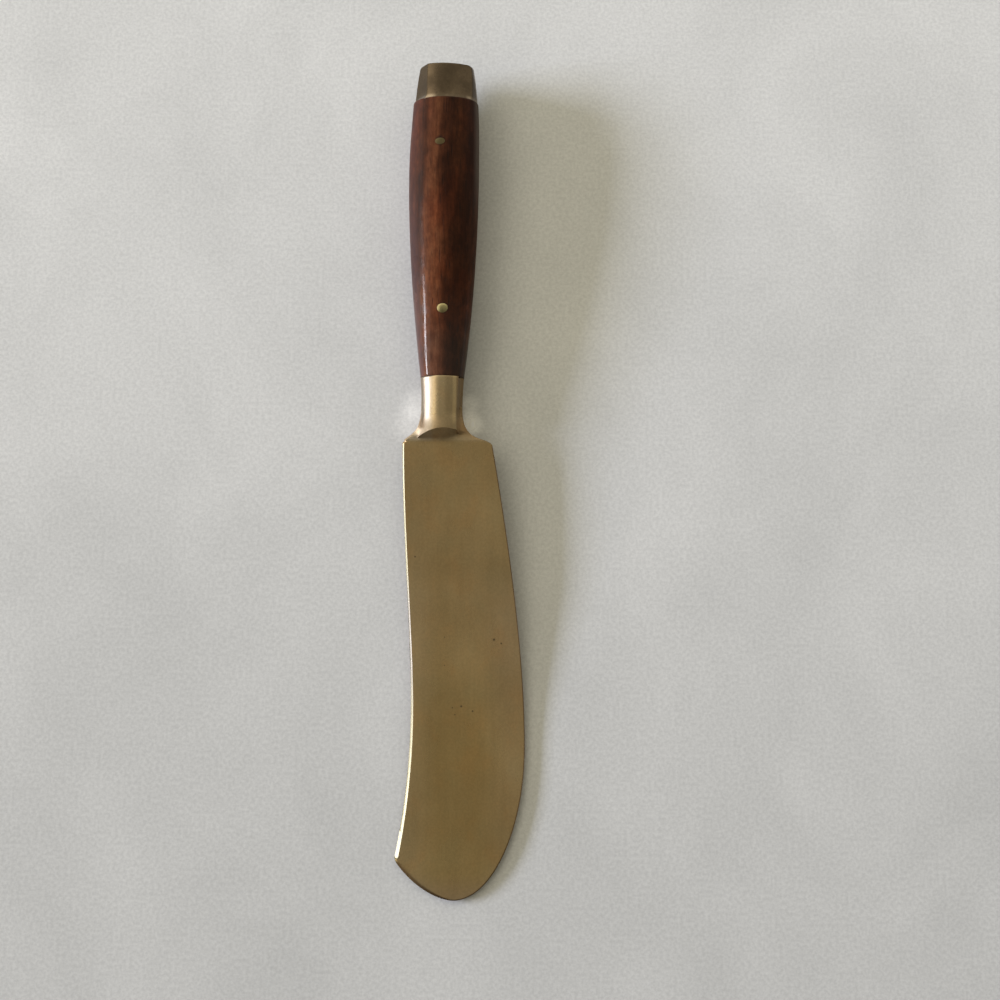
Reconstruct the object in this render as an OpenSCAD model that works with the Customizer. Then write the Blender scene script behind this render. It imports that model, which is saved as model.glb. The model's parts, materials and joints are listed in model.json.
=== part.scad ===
// Butter knife: a cast brass blade with its bolster, a rosewood grip and a brass end cap.
// X runs across the knife towards the spreading edge, Y along it towards the end cap, Z up.
// The knife lies as it rests on a table: on the tip of the blade and the belly of the grip.
// The shoulders are the line where the blade ends and the bolster begins.

/* [Blade] */
// Length of the blade from the shoulders to the tip
blade_len = 87.8; // [75:0.1:110]
// Thickness of the blade
blade_t = 1.6; // [1.2:0.1:2.4]
// Distance of the spine from the handle axis at the shoulders
spine_root = 7.6; // [6.6:0.1:9]
// Distance of the spine from the handle axis at its waist
spine_waist = 5.2; // [4.4:0.1:6]
// How far the waist of the spine lies below the shoulders
waist_at = 52.5; // [44:0.5:60]
// Distance of the spine's lower corner from the handle axis
spine_end = 7.9; // [6.5:0.1:9]
// How far the spine's lower corner lies above the tip
corner_rise = 7.8; // [6:0.1:10]
// Distance of the spreading edge from the handle axis at the shoulders
edge_root = 10.1; // [8.6:0.1:12]
// Distance of the spreading edge from the handle axis where it is widest
edge_belly = 16.8; // [14:0.1:19]
// How far the widest place lies below the shoulders
belly_at = 59.5; // [50:0.5:66]
// Distance of the tip from the handle axis
tip_off = 3.4; // [2:0.1:5]
// Width of the bevel along the spine at the shoulders
spine_bevel = 0.3; // [0.2:0.05:0.6]
// Width of the bevel along the spine at its lower corner
spine_bevel_end = 0.55; // [0.4:0.05:0.9]
// Slope of the bevel along the spine, from the flat of the blade
spine_bevel_slope = 38; // [25:1:50]
// Width of the eased rim along the spreading edge
rim = 0.2; // [0.1:0.05:0.4]
// Width of the bevel ground across the lower left of the tip, at its middle
tip_bevel = 0.8; // [0.4:0.1:1.2]
// Depth of the eased rim and of the tip's bevel
rim_depth = 0.3; // [0.15:0.05:0.5]

/* [Bolster] */
// Length of the bolster from the shoulders to the wood
bolster_len = 12.65; // [11:0.05:16]
// Width of the bolster where it meets the wood
bolster_w = 8.6; // [8:0.1:10]
// Thickness of the bolster where it meets the wood
bolster_t = 6.6; // [5.6:0.1:7.6]
// Width of the bolster at its neck
neck_w = 8.15; // [7.4:0.05:8.5]
// Thickness of the bolster at its neck
neck_t = 6.4; // [5.4:0.1:7]
// Distance of the neck from the shoulders
neck_at = 7; // [6:0.1:9]
// Width of the bolster where its sloped front meets the blade
foot_w = 9.4; // [8.8:0.1:11]
// How far the foot of the sloped front is shifted to the spine side
foot_off = 0.4; // [0:0.1:0.8]
// Distance of the foot of the sloped front from the shoulders
foot_at = 0.95; // [0.8:0.05:1.4]
// Skew of the foot across the knife, in degrees
foot_skew = 7.5; // [0:0.5:10]
// Length of the sloped front along the knife
slope_run = 1.5; // [1.2:0.1:2.6]
// Rounding of the shoulder on the spine side
spine_shoulder_r = 0.5; // [0.3:0.1:1]
// Rounding of the shoulder on the edge side
edge_shoulder_r = 1.1; // [0.5:0.1:1.6]

/* [Grip] */
// Length of the grip
grip_len = 56.3; // [48:0.1:80]
// Width of the grip at its belly
belly_w = 14.1; // [12:0.1:17]
// Thickness of the grip at its belly
belly_t = 9.9; // [8.6:0.1:12]
// Distance of the belly from the bolster
grip_belly_at = 42; // [34:0.5:48]
// How far the belly bows to the spine side
belly_bow = 0.2; // [0:0.05:0.8]
// Width of the grip where it meets the cap
grip_rear_w = 13.1; // [11:0.1:16]
// Thickness of the grip where it meets the cap
grip_rear_t = 9.2; // [8:0.1:11]
// Width of the flat under the belly, on which the grip stands
rest_flat = 3.8; // [2:0.1:5]

/* [End cap] */
// Length of the end cap
cap_len = 7.8; // [6.4:0.1:12]
// Width of the cap's end
cap_end_w = 11.0; // [9:0.1:11.5]
// Thickness of the cap at its end, between the two filed faces
cap_end_t = 5.8; // [5:0.1:6.6]
// Thickness of the cap at the wood, between the two filed faces
cap_face_t = 8.1; // [7.4:0.1:8.8]
// Distance of the corner filed on the spine side from the cap's axis
cap_spine_corner = 3.7; // [3.2:0.1:4.5]
// Distance of the corner filed on the edge side from the cap's axis
cap_edge_corner = 5.3; // [4:0.1:5.4]
// How far the wood stands proud of the cap all round
cap_step = 0.15; // [0:0.05:0.4]
// How far the cap sits off the grip's axis, towards the edge side
cap_off = 0.1; // [0:0.05:0.2]
// Rounding of the cap's end
cap_round = 0.8; // [0.4:0.1:1.4]

/* [Tangs and pins] */
// Width of both tangs
tang_w = 5.4; // [4.8:0.1:6]
// Thickness of both tangs
tang_t = 2.4; // [1.8:0.1:3]
// Length of the blade's tang
tang_len = 20; // [17:0.5:24]
// Length of the cap's tang
cap_tang_len = 14; // [12:0.5:17]
// Thickness of the cement round each tang
cement = 0.3; // [0.15:0.05:0.5]
// Diameter of the pins
pin_d = 2.38; // [1.6:0.02:2.6]
// Clearance of the pins in their holes, on the diameter
pin_clear = 0.04; // [0.02:0.01:0.1]
// Height of the filed crown on each end of the pins
pin_crown = 0.08; // [0.04:0.01:0.15]
// Distance of the front pin from the bolster
front_pin_at = 13.25; // [11:0.05:15]
// Distance of the rear pin from the cap
rear_pin_at = 9.4; // [7:0.1:10]
// How far the rear pin was drilled off the axis, towards the spine side
rear_pin_off = 0.9; // [0:0.1:1.2]

/* [Hidden] */

brass = [0.62, 0.52, 0.33];
dark_brass = [0.42, 0.35, 0.25];
rosewood = [0.33, 0.18, 0.12];
resin = [0.75, 0.66, 0.45];

// Roundness of the sections: 2 is an ellipse, and a larger value is squarer
grip_power = 2.1;
bolster_power = 2.4;
// Thickness of the cap's end before its two faces are filed, as a share of that at the wood
cap_body_end = 0.88;
// Slopes of the filed corners, from the filed faces
cap_spine_slope = 50;
cap_edge_slope = 58;
// Points round a section, and steps along a curve
ring_points = 40;
curve_steps = 14;
// Overlap of joined solids, and reach of cuts past a surface
bite = 1;
past = 0.4;

function bezier(p, t) =
    p[0] * pow(1 - t, 3) + p[1] * 3 * t * pow(1 - t, 2) + p[2] * 3 * t * t * (1 - t) + p[3] * pow(t, 3);
function curve(p, steps = curve_steps) = [for (i = [0:steps]) bezier(p, i / steps)];
function mix(a, b, t) = a + (b - a) * t;
function tail(list) = [for (i = [1:len(list) - 1]) list[i]];
function arc(centre, r, from, to, steps = 6) =
    [for (i = [0:steps]) centre + r * [cos(mix(from, to, i / steps)), sin(mix(from, to, i / steps))]];

// Outline of the blade, from the spine's shoulder round the tip to the edge's shoulder
corner = [-spine_end, -(blade_len - corner_rise)];
tip = [tip_off, -blade_len];
spine_line = concat(
    curve([[-spine_root, -spine_shoulder_r],
           [-spine_root, -0.27 * waist_at],
           [-spine_waist, -0.76 * waist_at],
           [-spine_waist, -waist_at]]),
    tail(curve([[-spine_waist, -waist_at],
                mix([-spine_waist, -waist_at], [-spine_waist, corner[1]], 0.33),
                corner + [0.2, 1] * 0.33 * (blade_len - corner_rise - waist_at),
                corner])));
nose_line = curve([corner + [0.35, -0.9],
                   corner + [0.32 * (tip_off + spine_end), -0.68 * corner_rise],
                   mix(corner, tip, 0.7) + [0, -0.28 * corner_rise],
                   tip]);
edge_line = concat(
    curve([tip,
           tip + [0.56 * (edge_belly - tip_off), 0.2],
           [edge_belly, -mix(belly_at, blade_len, 0.53)],
           [edge_belly, -belly_at]], 18),
    tail(curve([[edge_belly, -belly_at],
                [edge_belly, -0.7 * belly_at],
                [mix(edge_root, edge_belly, 0.45), -0.3 * belly_at],
                [edge_root, -edge_shoulder_r]])));
rim_line = concat(nose_line, tail(edge_line));
spine_widths = [for (p = spine_line) mix(spine_bevel, spine_bevel_end, p[1] / corner[1])];
rim_widths = [for (i = [0:len(rim_line) - 1])
    rim + (i < curve_steps ? (tip_bevel - rim) * sin(180 * i / curve_steps) : 0)];

// Flares of the shoulders, from the blade's corners up to the neck
spine_flare = curve([[-spine_root + 0.6 * spine_shoulder_r, 0.3],
                     [-mix(spine_root, neck_w / 2, 0.4), 0.2 * neck_at],
                     [-neck_w / 2, 0.42 * neck_at],
                     [-neck_w / 2 + 0.03, 0.95 * neck_at]], 8);
edge_flare = curve([[edge_root - edge_shoulder_r, 0.15],
                    [mix(edge_root, neck_w / 2, 0.55), 0.14 * neck_at],
                    [neck_w / 2, 0.4 * neck_at],
                    [neck_w / 2 - 0.03, 0.95 * neck_at]], 8);
edge_corner = arc([edge_root - edge_shoulder_r, -edge_shoulder_r], edge_shoulder_r, 10, 75);
spine_corner = arc([-spine_root + spine_shoulder_r, -spine_shoulder_r], spine_shoulder_r, 105, 170);
outline = concat(spine_line, nose_line, tail(edge_line), edge_corner, edge_flare,
                 [for (i = [len(spine_flare) - 1:-1:0]) spine_flare[i]], spine_corner);

// Stations along the handle: place, half width, half thickness, shift to the edge side
grip_y = bolster_len;
cap_y = grip_y + grip_len;
end_y = cap_y + cap_len;
front_pin_y = grip_y + front_pin_at;
rear_pin_y = cap_y - rear_pin_at;
bolster_rings = concat(
    curve([[0, foot_w / 2, neck_t / 2, -foot_off],
           [0.3 * neck_at, neck_w / 2, neck_t / 2, -0.2 * foot_off],
           [0.7 * neck_at, neck_w / 2, neck_t / 2, 0],
           [neck_at, neck_w / 2, neck_t / 2, 0]], 8),
    tail(curve([[neck_at, neck_w / 2, neck_t / 2, 0],
                [mix(neck_at, grip_y, 0.4), neck_w / 2, neck_t / 2, 0],
                [mix(neck_at, grip_y, 0.7),
                 mix(neck_w, bolster_w, 0.4) / 2,
                 mix(neck_t, bolster_t, 0.4) / 2,
                 0],
                [grip_y, bolster_w / 2, bolster_t / 2, 0]], 5)));
belly_y = grip_y + grip_belly_at;
grip_rings = concat(
    curve([[grip_y, bolster_w / 2, bolster_t / 2, 0],
           [mix(grip_y, belly_y, 0.27),
            mix(bolster_w, belly_w, 0.54) / 2,
            mix(bolster_t, belly_t, 0.54) / 2,
            0],
           [mix(grip_y, belly_y, 0.65), belly_w / 2, belly_t / 2, -belly_bow],
           [belly_y, belly_w / 2, belly_t / 2, -belly_bow]], 20),
    tail(curve([[belly_y, belly_w / 2, belly_t / 2, -belly_bow],
                [mix(belly_y, cap_y, 0.36), belly_w / 2, belly_t / 2, -belly_bow],
                [mix(belly_y, cap_y, 0.7),
                 mix(belly_w, grip_rear_w, 0.5) / 2,
                 mix(belly_t, grip_rear_t, 0.5) / 2,
                 0],
                [cap_y, grip_rear_w / 2, grip_rear_t / 2, 0]], 8)));
cap_root = [grip_rear_w / 2 - cap_step - cap_off, grip_rear_t / 2 - cap_step];
cap_tip = [cap_end_w / 2, cap_body_end * cap_root[1]];
cap_rings = concat(
    curve([[cap_y, cap_root[0], cap_root[1], cap_off],
           [mix(cap_y, end_y, 0.3), mix(cap_root[0], cap_tip[0], 0.2), cap_root[1], cap_off],
           [mix(cap_y, end_y, 0.6), mix(cap_root[0], cap_tip[0], 0.5), cap_tip[1], cap_off],
           [end_y - cap_round, cap_tip[0], cap_tip[1], cap_off]], 8),
    [for (a = [22.5:22.5:90])
        [end_y - cap_round * (1 - sin(a)), cap_tip[0] - cap_round * (1 - cos(a)),
         cap_tip[1] - cap_round * (1 - cos(a)), cap_off]]);

// Unit vector at right angles to a line of points, on its left side
function side_way(line, i) =
    let (d = line[min(i + 1, len(line) - 1)] - line[max(i - 1, 0)])
    [-d[1], d[0]] / norm(d);

// Lie of the knife: pitched until the flat under the belly is as low as the tip of the blade
rest_depth = belly_t / 2 * (1 - pow(1 - pow(rest_flat / belly_w, grip_power), 1 / grip_power));
tip_foot = min([for (i = [0:len(rim_line) - 1]) rim_line[i][1] + side_way(rim_line, i)[1] * rim_widths[i]]);
pitch = max([for (s = grip_rings) atan((s[2] - rest_depth - blade_t / 2) / (s[0] - tip_foot))]);
lift = -tip_foot * sin(pitch) + blade_t / 2 * cos(pitch);
handle_rings = concat(grip_rings, cap_rings);
xs = concat([for (p = outline) p[0]],
            [for (s = handle_rings) s[3] + s[1]],
            [for (s = handle_rings) s[3] - s[1]]);
low_y = -blade_len * cos(pitch) - (blade_t / 2 - rim_depth) * sin(pitch);
high_y = max([for (s = handle_rings) s[0] * cos(pitch) + s[2] * sin(pitch)]);

module at_rest() {
    translate([-(min(xs) + max(xs)) / 2, -(low_y + high_y) / 2, lift])
        rotate([pitch, 0, 0])
            children();
}

function signed_power(v, e) = sign(v) * pow(abs(v), e);
function ring(s, power) = [for (i = [0:ring_points - 1])
    let (a = 360 * (i + 0.5) / ring_points)
    [s[3] + s[1] * signed_power(cos(a), 2 / power), s[0], s[2] * signed_power(sin(a), 2 / power)]];

// Closed skin over rings of equally many points, with a flat face at each end.
// Seen along the way from the first ring to the last, each ring runs anticlockwise.
module skin(rings) {
    n = len(rings[0]);
    last = len(rings) - 1;
    points = [for (r = rings) each r];
    start_face = [for (i = [n - 1:-1:0]) i];
    end_face = [for (i = [0:n - 1]) last * n + i];
    sides = [for (j = [0:last - 1], i = [0:n - 1], half = [0:1])
        let (k = (i + 1) % n)
        half == 0 ? [j * n + i, (j + 1) * n + k, (j + 1) * n + i]
                  : [j * n + i, j * n + k, (j + 1) * n + k]];
    polyhedron(points, concat([start_face, end_face], sides), convexity = 4);
}

// Wedge that bevels the upper rim along a line of the outline, with the blade on its left side
module bevel_cut(line, widths, depths) {
    skin([for (i = [0:len(line) - 1])
        let (
            w = widths[i],
            way = side_way(line, i),
            out = line[i] - way * past,
            in = line[i] + way * (w + past),
            grow = past * depths[i] / w,
            z = blade_t / 2)
        [[out[0], out[1], z - depths[i] - grow], [out[0], out[1], z + grow], [in[0], in[1], z + grow]]]);
}

module blade_plate() {
    difference() {
        linear_extrude(blade_t, center = true)
            polygon(outline);
        for (face = [0, 1])
            mirror([0, 0, face]) {
                bevel_cut(spine_line, spine_widths, spine_widths * tan(spine_bevel_slope));
                bevel_cut(rim_line, rim_widths, [for (w = rim_widths) rim_depth]);
            }
    }
}

// Body of the bolster, with its front sloped down to the blade on both faces
module bolster() {
    slope = atan((neck_t - blade_t) / 2 / slope_run);
    block = 3 * bolster_w;
    difference() {
        skin([for (s = bolster_rings) ring(s, bolster_power)]);
        for (face = [0, 1])
            mirror([0, 0, face])
                translate([0, foot_at, blade_t / 2])
                    rotate([slope, 0, foot_skew])
                        translate([-block / 2, -block / 2, 0])
                            cube(block);
    }
}

module tang(from, to, w, t) {
    translate([-w / 2, from, -t / 2])
        cube([w, to - from, t]);
}

module pin_bore(x, y) {
    translate([x, y, 0])
        cylinder(d = pin_d + pin_clear, h = 2 * belly_t, center = true, $fn = 48);
}

// Slot in the grip for a tang and the cement round it, and the body of that cement
module slot(from, to) {
    tang(from, to, tang_w + 2 * cement, tang_t + 2 * cement);
}

module front_slot() {
    slot(grip_y - past, grip_y + tang_len + cement);
}

module rear_slot() {
    slot(cap_y - cap_tang_len - cement, cap_y + past);
}

module front_bore() {
    pin_bore(0, front_pin_y);
}

module rear_bore() {
    pin_bore(-rear_pin_off, rear_pin_y);
}

// Pin with a low filed crown at each end, just level with the wood
module pin(x, y) {
    half = lookup(y, [for (s = grip_rings) [s[0], s[2]]]);
    crown_r = (pow(pin_d / 2, 2) + pow(pin_crown, 2)) / (2 * pin_crown);
    translate([x, y, 0])
        intersection() {
            cylinder(d = pin_d, h = 2 * half, center = true, $fn = 48);
            translate([0, 0, half - crown_r])
                sphere(crown_r, $fn = 96);
            translate([0, 0, crown_r - half])
                sphere(crown_r, $fn = 96);
        }
}

module blade() {
    color(brass)
        at_rest()
            difference() {
                union() {
                    blade_plate();
                    bolster();
                    tang(grip_y - bite, grip_y + tang_len, tang_w, tang_t);
                }
                front_bore();
            }
}

// Everything below the table that the knife lies on
module below_table() {
    block = 2 * grip_len;
    translate([-block / 2, -block / 2, -block])
        cube(block);
}

module grip() {
    color(rosewood)
        difference() {
            at_rest()
                difference() {
                    skin([for (s = grip_rings) ring(s, grip_power)]);
                    front_slot();
                    rear_slot();
                    front_bore();
                    rear_bore();
                }
            below_table();
        }
}

// One of the cap's filed planes: its place across the cap, and its tilt to one side
module filed_plane(across, tilt) {
    slope = atan((cap_face_t - cap_end_t) / 2 / cap_len);
    block = 3 * cap_len;
    translate([cap_off + across, cap_y, cap_face_t / 2])
        rotate([-slope, 0, 0])
            rotate([0, tilt, 0])
                translate([-block / 2, -bite, 0])
                    cube(block);
}

// Faces and corners filed on the cap, above and below, from the wood down to its end
module cap_faces() {
    for (face = [0, 1])
        mirror([0, 0, face]) {
            filed_plane(0, 0);
            filed_plane(-cap_spine_corner, -cap_spine_slope);
            filed_plane(cap_edge_corner, cap_edge_slope);
        }
}

module pommel() {
    color(dark_brass)
        at_rest()
            difference() {
                union() {
                    difference() {
                        skin([for (s = cap_rings) ring(s, grip_power)]);
                        cap_faces();
                    }
                    tang(cap_y - cap_tang_len, cap_y + bite, tang_w, tang_t);
                }
                rear_bore();
            }
}

module front_pin() {
    color(brass)
        at_rest()
            pin(0, front_pin_y);
}

module rear_pin() {
    color(dark_brass)
        at_rest()
            pin(-rear_pin_off, rear_pin_y);
}

module front_tang_cement() {
    color(resin)
        at_rest()
            difference() {
                slot(grip_y, grip_y + tang_len + cement);
                tang(grip_y - past, grip_y + tang_len, tang_w, tang_t);
                front_bore();
            }
}

module rear_tang_cement() {
    color(resin)
        at_rest()
            difference() {
                slot(cap_y - cap_tang_len - cement, cap_y);
                tang(cap_y - cap_tang_len, cap_y + past, tang_w, tang_t);
                rear_bore();
            }
}

blade();
grip();
pommel();
front_pin();
rear_pin();
front_tang_cement();
rear_tang_cement();
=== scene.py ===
"""Looks of the butter knife: a brass blade with its bolster, a rosewood grip, a brass end cap.

Shapes are made in the knife's own frame, in millimetres: x across it towards the spreading
edge, y along it from the shoulders towards the end cap, z up from its middle plane.
"""

import json
import math

import bmesh
import bpy
import numpy as np
from mathutils import Euler, Matrix, Vector

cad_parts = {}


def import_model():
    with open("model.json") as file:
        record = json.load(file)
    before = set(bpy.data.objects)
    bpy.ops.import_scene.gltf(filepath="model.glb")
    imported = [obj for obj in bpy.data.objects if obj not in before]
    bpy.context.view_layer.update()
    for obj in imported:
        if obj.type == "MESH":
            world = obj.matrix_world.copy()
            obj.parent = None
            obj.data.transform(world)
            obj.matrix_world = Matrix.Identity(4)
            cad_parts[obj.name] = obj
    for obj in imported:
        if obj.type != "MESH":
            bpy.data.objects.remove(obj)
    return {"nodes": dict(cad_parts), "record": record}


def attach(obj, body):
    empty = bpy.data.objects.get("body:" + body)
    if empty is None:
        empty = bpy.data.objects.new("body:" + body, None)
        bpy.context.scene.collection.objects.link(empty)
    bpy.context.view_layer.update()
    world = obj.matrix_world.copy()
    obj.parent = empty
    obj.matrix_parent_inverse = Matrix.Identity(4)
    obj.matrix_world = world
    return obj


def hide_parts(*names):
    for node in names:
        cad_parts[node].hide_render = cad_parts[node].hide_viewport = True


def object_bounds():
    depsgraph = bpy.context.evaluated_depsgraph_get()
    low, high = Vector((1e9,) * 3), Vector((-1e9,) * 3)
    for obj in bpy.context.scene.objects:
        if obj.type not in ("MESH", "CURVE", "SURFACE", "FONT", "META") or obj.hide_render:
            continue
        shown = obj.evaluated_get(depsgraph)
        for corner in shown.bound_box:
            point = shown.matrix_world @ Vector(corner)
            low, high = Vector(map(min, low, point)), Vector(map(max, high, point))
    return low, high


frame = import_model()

cad_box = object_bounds()
MM = 0.001
TABLE_GAP = 0.00001

# ---- the knife's own frame

BOLSTER_LEN = 12.65

mounts = {m["name"]: m for m in frame["record"]["mounts"]}
ACROSS = Vector((1, 0, 0))
UP = Vector(mounts["blade_upper_face"]["axis"]).normalized()
ALONG = UP.cross(ACROSS)


def extent(node, axis):
    """How far a CAD node reaches along an axis, lowest and highest, in millimetres."""
    reach = [v.co.dot(axis) / MM for v in frame["nodes"][node].data.vertices]
    return min(reach), max(reach)


def middle(node, axis):
    """Half way along a CAD node, in millimetres."""
    return sum(extent(node, axis)) / 2


def mount_height(name):
    """Height of a mount in the knife's own frame, in millimetres."""
    return Vector(mounts[name]["pos_m"]).dot(UP) / MM


ORIGIN = Vector((
    middle("front_pin", ACROSS),
    extent("grip", ALONG)[0] - BOLSTER_LEN,
    middle("front_pin", UP)))
TURN = Matrix((ACROSS, ALONG, UP)).transposed().to_4x4()
KNIFE = Matrix.Scale(MM, 4) @ TURN @ Matrix.Translation(ORIGIN)


def world(x=0, y=0, z=0):
    """World coordinates of a place in the knife's own frame."""
    return KNIFE @ Vector((x, y, z))


# Sizes read from the frame
HALF_T = (mount_height("blade_upper_face") - mount_height("blade_underside")) / 2
BLADE_LEN = ORIGIN.y - extent("blade", ALONG)[0]
SPINE_END = ORIGIN.x - extent("blade", ACROSS)[0]
EDGE_BELLY = extent("blade", ACROSS)[1] - ORIGIN.x
CAP_Y = extent("grip", ALONG)[1] - ORIGIN.y
END_Y = extent("pommel", ALONG)[1] - ORIGIN.y
FRONT_PIN_Y = middle("front_pin", ALONG) - ORIGIN.y
REAR_PIN_Y = middle("rear_pin", ALONG) - ORIGIN.y
REAR_PIN_X = middle("rear_pin", ACROSS) - ORIGIN.x
PIN_D = extent("front_pin", ACROSS)[1] - extent("front_pin", ACROSS)[0]
BELLY_W = extent("grip", ACROSS)[1] - extent("grip", ACROSS)[0]
BELLY_T = 2 * (extent("grip", UP)[1] - ORIGIN.z)

# Sizes that the frame does not show by itself, as in the part's source
SPINE_ROOT = 7.6
SPINE_WAIST = 5.2
WAIST_AT = 52.5
CORNER_RISE = 7.8
EDGE_ROOT = 10.1
EDGE_BELLY_AT = 59.5
TIP_OFF = 3.4
SPINE_BEVEL = 0.3
SPINE_BEVEL_END = 0.7
SPINE_BEVEL_SLOPE = math.radians(38)
RIM = 0.2
RIM_DEPTH = 0.3
TIP_BEVEL = 0.8
TIP_BEVEL_SLOPE = 0.4
BOLSTER_W = 8.6
BOLSTER_T = 6.6
NECK_W = 8.15
NECK_T = 6.4
NECK_AT = 7.0
FOOT_W = 9.4
FOOT_OFF = 0.4
FOOT_AT = 0.95
FOOT_SKEW = math.radians(5)
SLOPE_RUN = 1.5
FOOT_LOW = 0.5
FOOT_LEFT_RISE = 0.004
FOOT_RIGHT_RISE = 0.1
SPINE_SHOULDER_R = 0.5
EDGE_SHOULDER_R = 1.1
GRIP_BELLY_AT = 42.0
BELLY_BOW = 0.2
GRIP_REAR_W = 13.1
GRIP_REAR_T = 9.2
GRIP_POWER = 2.1
FRONT_POWER = 2.6
FRONT_RUN = 16.0
CAP_END_W = 11.0
CAP_END_T = 5.8
CAP_FACE_T = 8.1
CAP_BODY_END = 0.88
CAP_STEP = 0.15
CAP_OFF = 0.1
CAP_ROUND = 0.8

# How the blade was drawn thin: share of the lower half left, and where that is reached
THIN_SHARE = 0.06
THIN_FROM = 62.0
# Where the spreading edge starts to droop, and over what length
DROOP_FROM = 22.0
DROOP_RUN = 42.0


# ---- curves


def mix(a, b, t):
    return a + (b - a) * t


def smooth(t):
    t = np.clip(t, 0.0, 1.0)
    return t * t * (3 - 2 * t)


def bezier(points, steps=40):
    p = [np.array(q, float) for q in points]
    t = np.linspace(0, 1, steps + 1)[:, None]
    start = p[0] * (1 - t) ** 3 + 3 * p[1] * t * (1 - t) ** 2
    return start + 3 * p[2] * t * t * (1 - t) + p[3] * t ** 3


def arc(centre, r, start, end, steps=10):
    a = np.radians(np.linspace(start, end, steps + 1))
    return np.array(centre) + r * np.stack([np.cos(a), np.sin(a)], 1)


def chain(*lines):
    """Lines joined end to end, without points that repeat."""
    points = np.concatenate(lines)
    step = np.linalg.norm(np.diff(points, axis=0), axis=1)
    return points[np.concatenate([[True], step > 1e-6])]


def resample(points, count):
    """The same line as count + 1 points, evenly spaced along it."""
    step = np.linalg.norm(np.diff(points, axis=0), axis=1)
    at = np.concatenate([[0], np.cumsum(step)])
    want = np.linspace(0, at[-1], count + 1)
    return np.stack([np.interp(want, at, points[:, k]) for k in range(points.shape[1])], 1)


def cut_at(points, axis, value):
    """A line parted where it first passes a value of one coordinate."""
    side = points[:, axis] > value
    i = int(np.argmax(side != side[0]))
    t = (value - points[i - 1, axis]) / (points[i, axis] - points[i - 1, axis])
    p = mix(points[i - 1], points[i], t)[None]
    return chain(points[:i], p), chain(p, points[i:])


def joined(*lines):
    """Lines joined where each starts at the end of the one before."""
    return np.concatenate([lines[0]] + [line[1:] for line in lines[1:]])


# Outline of the blade. The bare shares and offsets place the handles of its curves.
CORNER = np.array([-SPINE_END, CORNER_RISE - BLADE_LEN])
TIP = np.array([TIP_OFF, -BLADE_LEN])


def spine_side():
    """The spine's outline in three lines: flare with shoulder, spine, and nose to the tip."""
    flare = bezier([
        (-NECK_W / 2 + 0.03, 0.95 * NECK_AT),
        (-NECK_W / 2, 0.24 * NECK_AT),
        (-mix(SPINE_ROOT, NECK_W / 2, 0.4), 0.2 * NECK_AT),
        (-SPINE_ROOT + 0.6 * SPINE_SHOULDER_R, 0.3)])
    shoulder = arc((-SPINE_ROOT + SPINE_SHOULDER_R, -SPINE_SHOULDER_R), SPINE_SHOULDER_R, 105, 180)
    waist = np.array([-SPINE_WAIST, -WAIST_AT])
    spine = chain(
        bezier([(-SPINE_ROOT, -SPINE_SHOULDER_R), (-SPINE_ROOT, -0.27 * WAIST_AT),
                (-SPINE_WAIST, -0.76 * WAIST_AT), waist]),
        bezier([waist, mix(waist, np.array([-SPINE_WAIST, CORNER[1]]), 0.33),
                CORNER + np.array([0.2, 1]) * 0.33 * (BLADE_LEN - CORNER_RISE - WAIST_AT), CORNER]))
    nose = chain(CORNER[None], bezier([
        CORNER + (0.35, -0.9),
        CORNER + (0.32 * (TIP_OFF + SPINE_END), -0.68 * CORNER_RISE),
        mix(CORNER, TIP, 0.7) + (0, -0.28 * CORNER_RISE),
        TIP]))
    return flare, shoulder, spine, nose


def edge_side():
    """The spreading edge's outline in two lines: flare with shoulder, and edge to the tip."""
    flare = bezier([
        (NECK_W / 2 - 0.03, 0.95 * NECK_AT),
        (NECK_W / 2, 0.2 * NECK_AT),
        (mix(EDGE_ROOT, NECK_W / 2, 0.62), 0.14 * NECK_AT),
        (EDGE_ROOT - EDGE_SHOULDER_R, 0.15)])
    shoulder = arc((EDGE_ROOT - EDGE_SHOULDER_R, -EDGE_SHOULDER_R), EDGE_SHOULDER_R, 75, 0)
    edge = chain(
        bezier([(EDGE_ROOT, -EDGE_SHOULDER_R),
                (mix(EDGE_ROOT, EDGE_BELLY, 0.45), -0.3 * EDGE_BELLY_AT),
                (EDGE_BELLY, -0.7 * EDGE_BELLY_AT), (EDGE_BELLY, -EDGE_BELLY_AT)]),
        bezier([(EDGE_BELLY, -EDGE_BELLY_AT), (EDGE_BELLY, -mix(EDGE_BELLY_AT, BLADE_LEN, 0.53)),
                TIP + (0.56 * (EDGE_BELLY - TIP_OFF), 0.2), TIP]))
    return flare, shoulder, edge


# ---- meshes


def within_box(p):
    """A point kept between the table and the height of the CAD model."""
    return Vector((p.x, p.y, min(max(p.z, TABLE_GAP), cad_box[1][2])))


def put(name, data):
    """An object with this data, in the scene."""
    obj = bpy.data.objects.new(name, data)
    bpy.context.scene.collection.objects.link(obj)
    return obj


# Points this close are merged, and faces this thin dropped, in millimetres
MERGED = 0.004
SLIVER = 0.002


def add_piece(name, points, faces, node):
    """A mesh piece in the row frame, from points in the knife's frame."""
    mesh = bpy.data.meshes.new(name)
    mesh.from_pydata([within_box(world(*p)) for p in points], [], faces)
    mesh.validate()
    obj = put(name, mesh)
    tidy = bmesh.new()
    tidy.from_mesh(mesh)
    bmesh.ops.remove_doubles(tidy, verts=tidy.verts, dist=MERGED * MM)
    bmesh.ops.dissolve_degenerate(tidy, edges=tidy.edges, dist=SLIVER * MM)
    bmesh.ops.recalc_face_normals(tidy, faces=tidy.faces)
    tidy.to_mesh(mesh)
    tidy.free()
    mesh.shade_smooth()
    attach(obj, "root")
    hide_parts(node)
    return obj


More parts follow.
